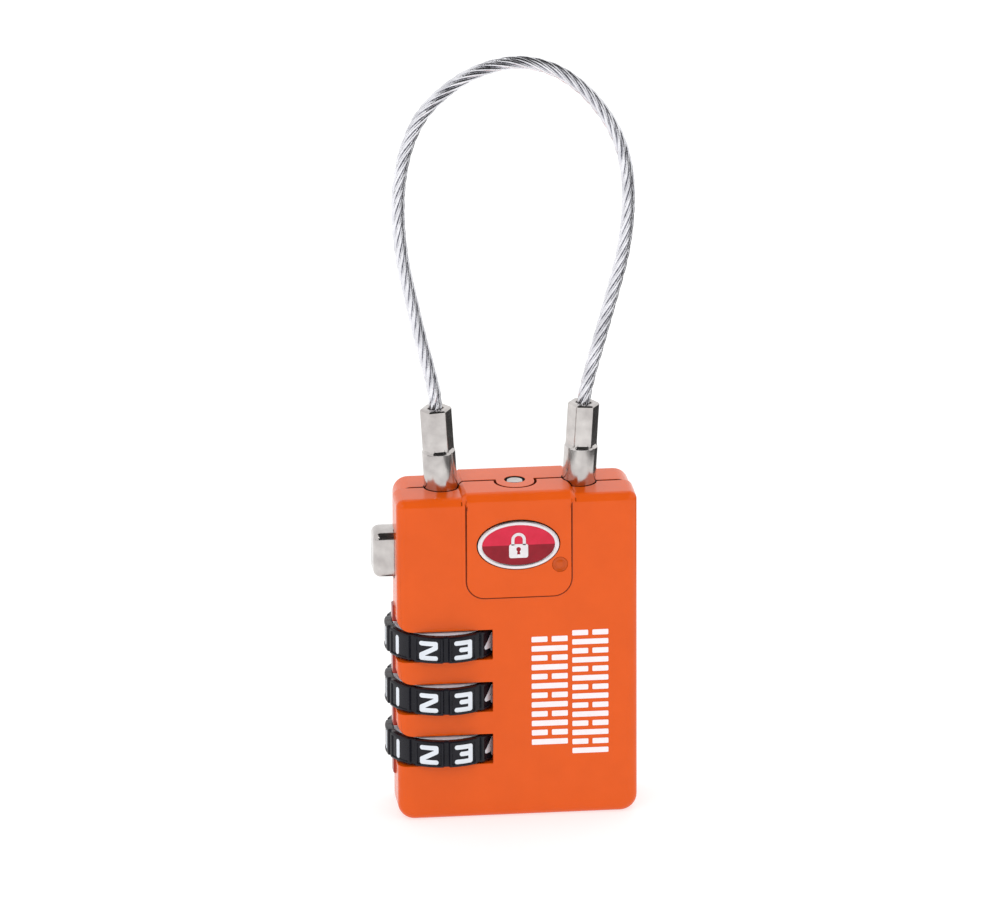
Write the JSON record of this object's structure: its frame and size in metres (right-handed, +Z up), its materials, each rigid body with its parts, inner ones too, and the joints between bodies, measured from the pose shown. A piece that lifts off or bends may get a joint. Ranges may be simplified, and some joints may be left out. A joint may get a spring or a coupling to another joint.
{
  "type": "luggage combination padlock",
  "caption": "Small luggage padlock with a twisted steel cable loop, side-mounted number dials, a push-button release and a key cylinder underneath.",
  "frame": {"origin": "centre of the body's flat bottom face", "axes": "+X to the release side (right seen from the front), -Y is the front with the badge and the dials' reading side, +Z up towards the cable loop"},
  "size_m": [0.0347, 0.0152, 0.1024],
  "materials": {
    "paint": "gloss orange paint over die-cast zinc",
    "dial_black": "gloss black moulded plastic",
    "dial_white": "satin white moulded plastic",
    "nickel": "bright nickel plate",
    "steel": "plain steel",
    "brass": "plain brass",
    "enamel_red": "gloss red enamel",
    "cable": "twisted steel strands under a clear coat"
  },
  "bodies": {
    "body": {"front_shell": "paint", "back_shell": "paint", "badge_plate": "nickel", "badge_inlay": "enamel_red", "captive_ferrule": "nickel", "captive_clip": "steel", "cable": "cable", "click_spring": "steel", "thrust_washer": "steel", "cylinder_housing": "nickel", "case_pin_1": "steel", "case_pin_2": "steel", "case_pin_3": "steel", "case_pin_4": "steel", "button_spring": "steel", "spindle_spring": "steel", "reset_spring": "steel", "ejector_spring": "steel"},
    "button": {"push_button": "nickel", "latch_plate": "steel"},
    "spindle": {"spindle": "steel"},
    "release": {"release_ferrule": "nickel"},
    "dial_1": {"dial_1": "dial_black", "dial_core_1": "dial_white", "sleeve_1": "brass"},
    "dial_2": {"dial_2": "dial_black", "dial_core_2": "dial_white", "sleeve_2": "brass"},
    "dial_3": {"dial_3": "dial_black", "dial_core_3": "dial_white", "sleeve_3": "brass"},
    "reset": {"reset_pin": "nickel"},
    "key": {"key_plug": "brass", "cylinder_cam": "steel", "cam_screw": "steel", "wafer_1": "brass", "wafer_2": "brass", "wafer_3": "brass", "wafer_4": "brass"}
  },
  "joints": [
    {"name": "button_press", "type": "slide", "parent": "body", "child": "button", "axis": [1, 0, 0], "range_m": [0, 0.0023], "stiffness_N_per_m": 700, "springref_m": -0.0012, "deforming": ["button_spring"]},
    {"name": "spindle_drop", "type": "slide", "parent": "body", "child": "spindle", "axis": [0, 0, -1], "range_m": [0, 0.0023], "deforming": ["spindle_spring"]},
    {"name": "release_pop", "type": "slide", "parent": "body", "child": "release", "axis": [0.061, 0, 0.9981], "range_m": [0, 0.0046], "deforming": ["ejector_spring", "cable"]},
    {"name": "dial_1_turn", "type": "hinge", "parent": "body", "child": "dial_1", "pos_m": [-0.00955, 0, 0.02405], "axis": [0, 0, 1], "continuous": true},
    {"name": "dial_2_turn", "type": "hinge", "parent": "body", "child": "dial_2", "pos_m": [-0.00955, 0, 0.01682], "axis": [0, 0, 1], "continuous": true},
    {"name": "dial_3_turn", "type": "hinge", "parent": "body", "child": "dial_3", "pos_m": [-0.00955, 0, 0.0096], "axis": [0, 0, 1], "continuous": true},
    {"name": "reset_press", "type": "slide", "parent": "body", "child": "reset", "axis": [0, 0, -1], "range_m": [0, 0.001], "stiffness_N_per_m": 300, "springref_m": -0.0012, "deforming": ["reset_spring"]},
    {"name": "key_turn", "type": "hinge", "parent": "body", "child": "key", "pos_m": [0.0086, 0, 0.0005], "axis": [0, 0, 1], "range_deg": [0, 90]}
  ],
  "couplings": [
    {"joint": "spindle_drop", "follows": "button_press", "ratio": 1},
    {"joint": "release_pop", "follows": "button_press", "ratio": 2}
  ]
}
